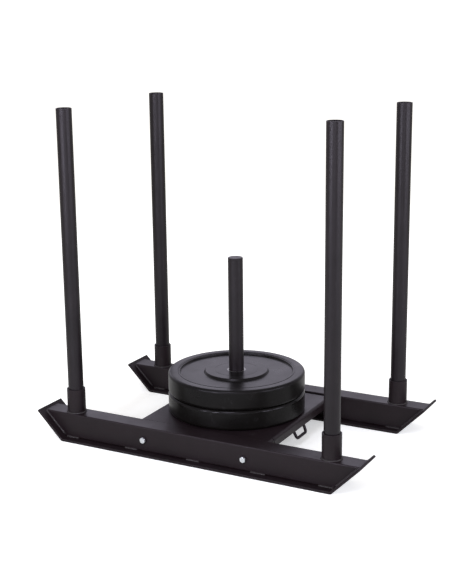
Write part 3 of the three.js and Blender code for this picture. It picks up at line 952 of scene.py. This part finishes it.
# %% Give the sheet its thickness
bmesh.ops.translate(made, vec=(DECK_X, 0, 0), verts=made.verts)
bmesh.ops.scale(made, vec=(MM, MM, MM), verts=made.verts)
bmesh.ops.recalc_face_normals(made, faces=made.faces)
if sum(f.normal.z * f.calc_area() for f in made.faces) < 0:
    bmesh.ops.reverse_faces(made, faces=made.faces)
sheet_mesh = bpy.data.meshes.new("deck_sheet")
made.to_mesh(sheet_mesh)
made.free()
deck = bpy.data.objects.new("deck_sheet", sheet_mesh)
dress(deck, "sled_frame", frame_coat, "frame_coat", ["deck_tray"])
thick = deck.modifiers.new("sheet thickness", "SOLIDIFY")
thick.thickness = SHEET * MM
thick.offset = -1
thick.use_even_offset = True
break_edges(deck, width=0.5, steps=2, angle=60)
print("deck:", [round(length / MM, 1) for length in deck.dimensions], "mm over its skin")

# %% [markdown]
# ## Tow loop
# A bent rod of 10 mm is welded up behind the front flange, and its eye leans out below for the rope's hook.
# A curve object with a round bevel would do for the rod alone. The tool that draws the beads does it as
# well, once it has a path with round bends.

# %% Give a path round bends
def bent(corners, radius, spacing):
    """A path of straight runs with round bends, with points about the given spacing apart."""
    corners = [Vector(c) for c in corners]
    path = [corners[0]]

    def run_to(end):
        start = path[-1]
        steps = max(1, round((end - start).length / spacing))
        path.extend(start.lerp(end, k / steps) for k in range(1, steps + 1))

    for before, here, after in zip(corners, corners[1:], corners[2:]):
        back = (before - here).normalized()
        on = (after - here).normalized()
        half = back.angle(on) / 2
        reach = radius / math.tan(half)
        centre = here + (back + on).normalized() * (radius / math.sin(half))
        start = here + back * reach
        axis = (start - centre).cross(here + on * reach - centre).normalized()
        run_to(start)
        turn = math.pi - 2 * half
        steps = max(4, round(turn * radius / spacing))
        for k in range(1, steps + 1):
            path.append(centre + Matrix.Rotation(turn * k / steps, 3, axis) @ (start - centre))
    run_to(corners[-1])
    return path


# %% Bend the tow loop
ROD_RADIUS = 5.0
LOOP_LEAN = math.radians(25)
LOOP_BEND = 9
LEG_X = DECK_X + DECK_HALF - SHEET - GAP - ROD_RADIUS
LEG_Y = 37
LEG_HIGH = 76
LEG_LOW = 50
EYE_Y = 34
EYE_DEPTH = 25.5
LEG_SEAM = (57, 74)
SEAM_ASIDE = 4.6
SEAM_AHEAD = 4.8

bar_x = LEG_X + EYE_DEPTH * math.sin(LOOP_LEAN)
bar_z = LEG_LOW - EYE_DEPTH * math.cos(LOOP_LEAN)
half_loop = [(LEG_X, LEG_Y, LEG_HIGH), (LEG_X, LEG_Y, LEG_LOW), (bar_x, EYE_Y, bar_z)]
whole_loop = half_loop + [(x, -y, z) for x, y, z in reversed(half_loop)]
loop_path = bent(whole_loop, radius=LOOP_BEND, spacing=1.5)
last = len(loop_path) - 1


def rod_reach(i, a):
    """The rod's radius, a little less at its sawn ends."""
    return ROD_RADIUS - 0.6 if i in (0, last) else ROD_RADIUS


shape = along(loop_path, rod_reach, up=Vector((1, 0, 0.001)))
even_shading(frame_part("tow_eye", shape, frame_coat, "tow_loop"))
for y in (LEG_Y, -LEG_Y):
    for edge in (-SEAM_ASIDE, SEAM_ASIDE):
        bead([(LEG_X + SEAM_AHEAD, y + edge, z) for z in LEG_SEAM], radius=2.2)
print("tow loop:", last + 1, "rings; its bar lies at x", round(bar_x, 1), "z", round(bar_z, 1))

# %% [markdown]
# ## Weight horn
# The post goes through the deck to a foot plate that is welded under it, which keeps it from rocking. A
# turned disc closes its top. The bead round the post is laid below the foot plate, and above the deck
# nothing stands out round it, so that the lowest plate lies flat. Post and disc could be one piece, but the
# fine line between them is what shows that the post is a tube.

# %% Turn the horn and its end
HORN_RADIUS = 24.5
HORN_BORE = 20.5
HORN_LOW = 71.7
HORN_TOP = 595
CAP_LOW = HORN_TOP - 5

horn_profile = rounded([
    (HORN_BORE, HORN_LOW, 0.3),
    (HORN_RADIUS, HORN_LOW, 0.5),
    (HORN_RADIUS, CAP_LOW - GAP, 0.35),
    (HORN_BORE, CAP_LOW - GAP, 0.3),
])
cap_corners = [(0, CAP_LOW), (HORN_RADIUS, CAP_LOW, 0.35), (HORN_RADIUS, HORN_TOP, 2.2), (0, HORN_TOP)]
cap_profile = rounded(cap_corners, closed=False, steps=7)
horn_at = (HORN_X, 0)
even_shading(frame_part("weight_horn", turned(horn_profile, horn_at), upright_coat, "horn_post"))
even_shading(frame_part("horn_end", turned(cap_profile, horn_at, closed=False), frame_coat, "horn_cap"))
print("horn:", HORN_TOP - DECK_HIGH, "mm above the deck")

# %% Cut the foot plate and weld it
FOOT_HALF = 70
FOOT_CORNER = 12
FOOT_HIGH = DECK_HIGH - SHEET - GAP
FOOT_LOW = FOOT_HIGH - 6
FOOT_SEAM_HALF = 28


def slab(outline, low, high):
    points = [(x, y, low) for x, y in outline] + [(x, y, high) for x, y in outline]
    return points, skin_over(in_rings(points, len(outline)))


square = [(-FOOT_HALF, -FOOT_HALF), (FOOT_HALF, -FOOT_HALF), (FOOT_HALF, FOOT_HALF), (-FOOT_HALF, FOOT_HALF)]
outline = [(x + HORN_X, y) for x, y in rounded([(x, y, FOOT_CORNER) for x, y in square], steps=8)]
foot = frame_part("foot_plate", slab(outline, FOOT_LOW, FOOT_HIGH), frame_coat, "horn_foot_plate")
break_edges(foot, width=0.6, steps=2)
seam = [(HORN_X + dx, dy, FOOT_LOW - 0.3) for dx, dy in circle(HORN_RADIUS + 0.5, 120)]
bead(seam, radius=2.6, closed=True)
for x, y in ((1, 0), (-1, 0), (0, 1), (0, -1)):
    reach = Vector((-y, x, 0)) * FOOT_SEAM_HALF
    middle = Vector((HORN_X + x * (FOOT_HALF + 0.2), y * (FOOT_HALF + 0.2), FOOT_HIGH - 0.1))
    bead([middle - reach, middle + reach], radius=3.0)
print("beads so far:", len(beads))

# %% [markdown]
# ## Bumper plates
# A bumper plate is moulded round its steel insert. Its faces step down from the rim to a web and up again
# to the hub, and every step has the small radii that let it leave the mould. One turned profile gives all
# of that, which displacement on a plain disc would blur. The insert stands a hair above the hub, so its
# edge catches the light. The two plates are the same, so one loop makes both.

# %% Mould the plates and turn their inserts
PLATE_THICK = 66
PLATE_RADIUS = 225
WEB_DEPTH = 7
INSERT_BORE = 25.4
INSERT_RADIUS = 31
PLATE_BASES = {"lower": DECK_HIGH + GAP, "upper": DECK_HIGH + PLATE_THICK + 2 * GAP}


def plate_face(face, base):
    """From the bore out: hub with a fine groove, web, step, rim with a fine groove, and rounded edge."""
    half = PLATE_THICK / 2
    corners = [
        (INSERT_RADIUS + GAP, half, 0.8),
        (70, half),
        (71, half - 0.5, 0.4),
        (72, half),
        (102, half, 1.6),
        (107, half - WEB_DEPTH, 2.4),
        (183.5, half - WEB_DEPTH, 1.4),
        (186.0, half - 1.4, 0.9),
        (189.5, half - 1.2, 0.4),
        (190.5, half, 0.7),
        (192, half),
        (194, half - 1.1, 0.6),
        (196, half),
        (PLATE_RADIUS, half, 10.0),
        (PLATE_RADIUS, 0),
    ]
    points = rounded(corners, closed=False, steps=6)
    return [(r, base + half + face * z) for r, z in points]


for level, base in PLATE_BASES.items():
    body = level + "_weight"
    shape = turned(plate_face(-1, base) + plate_face(1, base)[::-1][1:], horn_at, sides=192)
    moulded = piece(level + "_plate", shape, body, plate_rubber, "plate_rubber", [level + "_bumper_plate"])
    even_shading(moulded)
    profile = sleeve(INSERT_BORE, INSERT_RADIUS, base + 0.6, base + PLATE_THICK + 0.1, 0.9)
    shape = turned(profile, horn_at)
    ring = piece(level + "_steel_ring", shape, body, insert_steel, "insert_steel", [level + "_plate_insert"])
    even_shading(ring)
print("faces on a plate:", len(moulded.data.polygons), "and on a ring:", len(ring.data.polygons))

# %% [markdown]
# ## Bolts
# Four bolts draw the tubes against the deck's flanges, each on a washer that was painted with the frame. A
# hexagon head is turned on its top, which leaves the curved scallops at its six corners. A thread is a
# groove that climbs once round per pitch. Both are turned profiles that change on the way round, so the
# lathe's tool makes them, and the outline has the real steps.

# %% Forge a hexagon
ACROSS_FLATS = 17
CROWN_RADIUS = 8.0
CHAMFER = 0.55


def hexagon(low, high, bore=None):
    """A bolt head, its corners turned off at the top, or with a bore a nut, turned off at both ends."""

    def profile(a):
        past = (a + TAU / 12) % (TAU / 6) - TAU / 12
        reach = ACROSS_FLATS / 2 / math.cos(past)
        cut = CHAMFER * max(0.0, reach - CROWN_RADIUS)
        top = [(reach, high - cut), (CROWN_RADIUS, high)]
        if bore:
            return [(CROWN_RADIUS, low), (reach, low + cut)] + top + [(bore, high), (bore, low)]
        return [(reach - 0.05, low), (reach, low)] + top

    return turned(profile, closed=bool(bore), sides=144)


print("a nut has", len(hexagon(0, 8, 5)[1]), "faces")

# %% Cut a thread
BOLT_RADIUS = 5.0
PITCH = 1.5
THREAD_DEPTH = 0.75
RINGS_PER_PITCH = 10


def threaded_rod(low, high, thread_to):
    """A rod whose lower part, up to thread_to, carries a thread, with its tip tapered."""
    steps = int((thread_to - low) / PITCH * RINGS_PER_PITCH)
    heights = [low + (thread_to - low) * k / steps for k in range(steps + 1)] + [thread_to + 1, high]

    def radius(a, z):
        share = ((z - low) / PITCH + a / TAU) % 1.0
        cut = THREAD_DEPTH * (1 - abs(2 * share - 1)) if z < thread_to - 0.5 else 0.0
        taper = max(0.0, 1.0 - (z - low)) * 0.8
        return BOLT_RADIUS - max(cut, taper)

    return turned(lambda a: [(radius(a, z), z) for z in heights], closed=False, sides=36)


print("a threaded rod has", len(threaded_rod(0, 30, 20)[1]), "faces")

# %% Fit the bolts, washers and nuts
BOLT_X = 179
BOLT_Z = 46
BOLT_HEAD = 6.4
BOLT_LENGTH = 90
BARE_LENGTH = 60
HOLE_RADIUS = 5.3
WASHER_RADIUS = 12
WASHER_THICK = 2
NUT_THICK = 8
washer_low = SKID_Y + TUBE_HALF_WIDTH + GAP
head_low = washer_low + WASHER_THICK + GAP
inner_washer_low = DECK_HALF_WIDTH - SHEET - GAP - WASHER_THICK
nut_high = inner_washer_low - GAP


def washer(low):
    high = low + WASHER_THICK
    inner = [(HOLE_RADIUS, low, 0.3), (HOLE_RADIUS, high, 0.3)]
    outer = [(WASHER_RADIUS, low, 0.4), (WASHER_RADIUS, high, 0.4)]
    return turned(rounded([inner[0], outer[0], outer[1], inner[1]], steps=3), sides=72)


def joined(*shapes):
    points = []
    faces = []
    for more_points, more_faces in shapes:
        faces += [[i + len(points) for i in f] for f in more_faces]
        points += more_points
    return points, faces


def across(shape, x, side, turn):
    """Lays a shape that was drawn along Z on the bolt's line, its head outward."""
    points, faces = shape
    spin = Matrix.Rotation(turn, 4, "Z")
    lay = Matrix.Rotation(-side * math.pi / 2, 4, "X")
    shift = Matrix.Translation((x, 0, BOLT_Z))
    return [shift @ lay @ spin @ Vector(p) for p in points], faces


head = hexagon(head_low, head_low + BOLT_HEAD)
rod = threaded_rod(head_low - BOLT_LENGTH, head_low + 0.5, head_low - BARE_LENGTH)
nut = hexagon(nut_high - NUT_THICK, nut_high, bore=HOLE_RADIUS)
for number, (end, side) in enumerate(CORNERS):
    turn = random.Random(number).uniform(0, TAU / 6)
    for label, shape, node, finish, slot in (
        ("deck_bolt", joined(head, rod), "bolt", bright_zinc, "bright_zinc"),
        ("outer_washer", washer(washer_low), "head_washer", frame_coat, "frame_coat"),
        ("inner_washer", washer(inner_washer_low), "nut_washer", bright_zinc, "bright_zinc"),
        ("deck_nut", nut, "nut", bright_zinc, "bright_zinc"),
    ):
        name = f"{end}_{side}_"
        shape = across(shape, ENDS[end] * BOLT_X, SIDES[side], turn)
        even_shading(piece(name + label, shape, "sled_frame", finish, slot, [name + node]))
print("bolt heads stand", round(head_low + BOLT_HEAD - washer_low + GAP, 1), "mm out from the tubes")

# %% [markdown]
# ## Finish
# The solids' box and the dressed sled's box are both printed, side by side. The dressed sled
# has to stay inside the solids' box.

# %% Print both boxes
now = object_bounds()
sizes = {"cad": [list(map(float, v)) for v in cad_box], "visual": [list(map(float, v)) for v in now]}
for label, (low, high) in sizes.items():
    print(label, [round((b - a) / MM, 1) for a, b in zip(low, high)])
